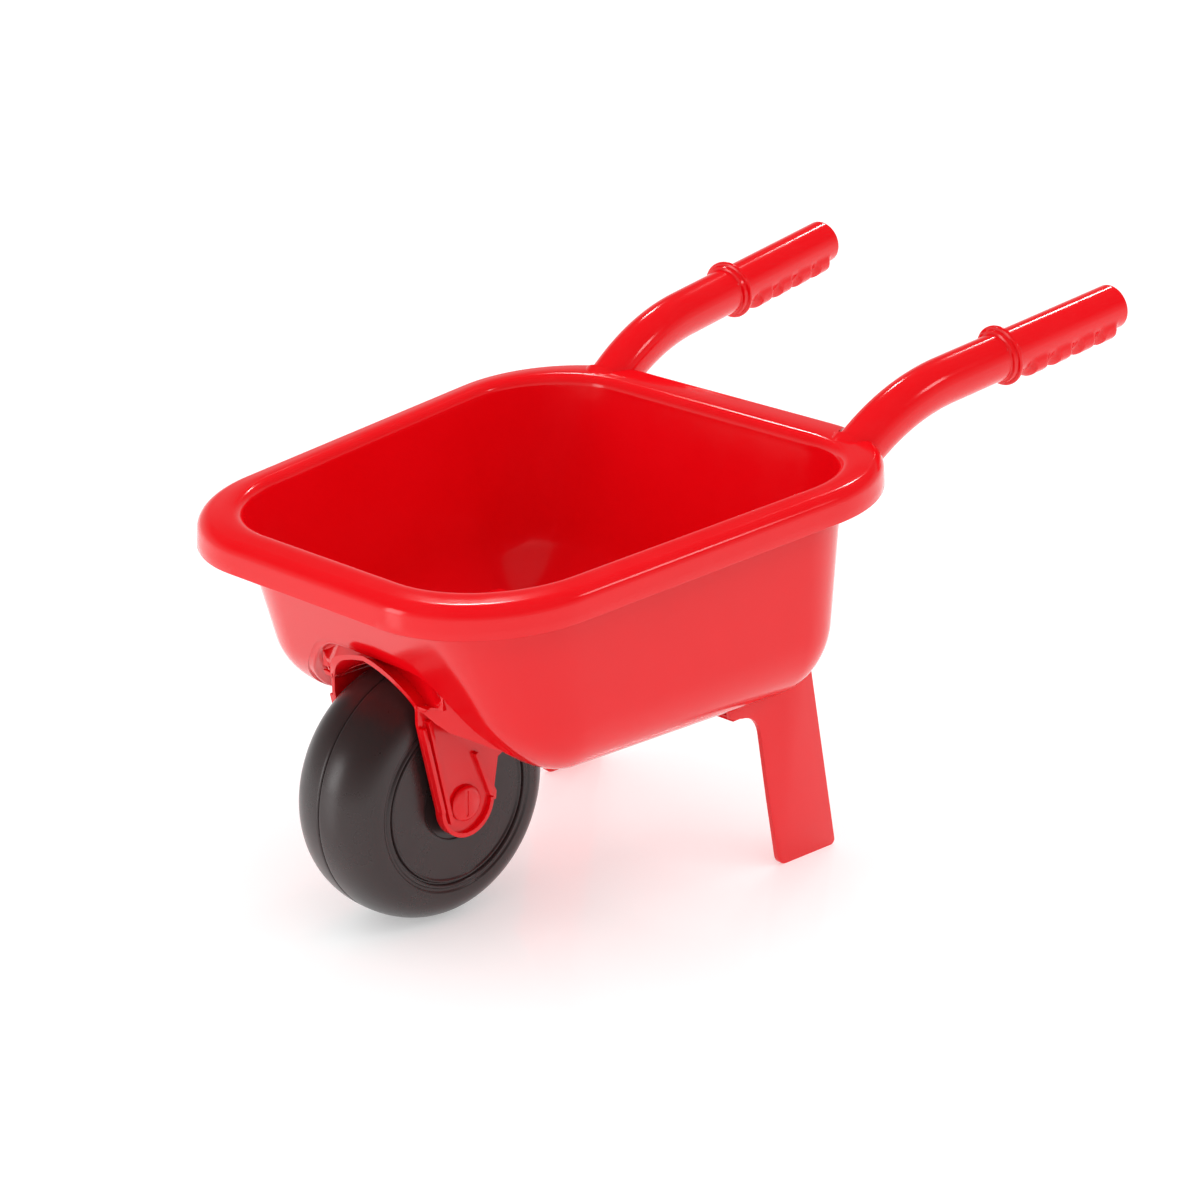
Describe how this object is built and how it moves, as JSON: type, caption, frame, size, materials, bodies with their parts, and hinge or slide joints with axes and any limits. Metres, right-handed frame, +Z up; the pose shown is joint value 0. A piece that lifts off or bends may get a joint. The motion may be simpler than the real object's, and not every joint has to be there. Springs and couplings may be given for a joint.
{
  "type": "toy wheelbarrow",
  "caption": "Child's play wheelbarrow: deep moulded tub with a rolled rim, wide front wheel on a short fork, plate legs and bent tube handles with finger ridges.",
  "frame": {"origin": "on the ground, under the middle of the overall box", "axes": "+Z up, the nose and wheel point to -Y, the handles to +Y, +X is the barrow's left side seen from the handles"},
  "size_m": [0.335, 0.5763, 0.3252],
  "materials": {
    "red_plastic": "glossy moulded plastic",
    "black_plastic": "satin moulded plastic",
    "bearing_plastic": "plain moulded plastic",
    "steel": "zinc plated"
  },
  "bodies": {
    "barrow": {"tub": "red_plastic", "wheel_fork": "red_plastic", "fork_screws": "steel", "axle": "steel", "axle_cap_left": "red_plastic", "axle_cap_right": "red_plastic", "thrust_washer_left": "steel", "thrust_washer_right": "steel", "handle_left": "red_plastic", "handle_right": "red_plastic", "handle_screws": "steel", "leg_left": "red_plastic", "leg_right": "red_plastic", "leg_screws": "steel"},
    "wheel": {"wheel_half_left": "black_plastic", "wheel_half_right": "black_plastic", "wheel_screws": "steel", "hub_tube": "bearing_plastic", "wheel_bush_left": "bearing_plastic", "wheel_bush_right": "bearing_plastic"}
  },
  "joints": [
    {"name": "wheel_spin", "type": "hinge", "parent": "barrow", "child": "wheel", "pos_m": [0, -0.1975, 0.08], "axis": [1, 0, 0], "continuous": true}
  ]
}
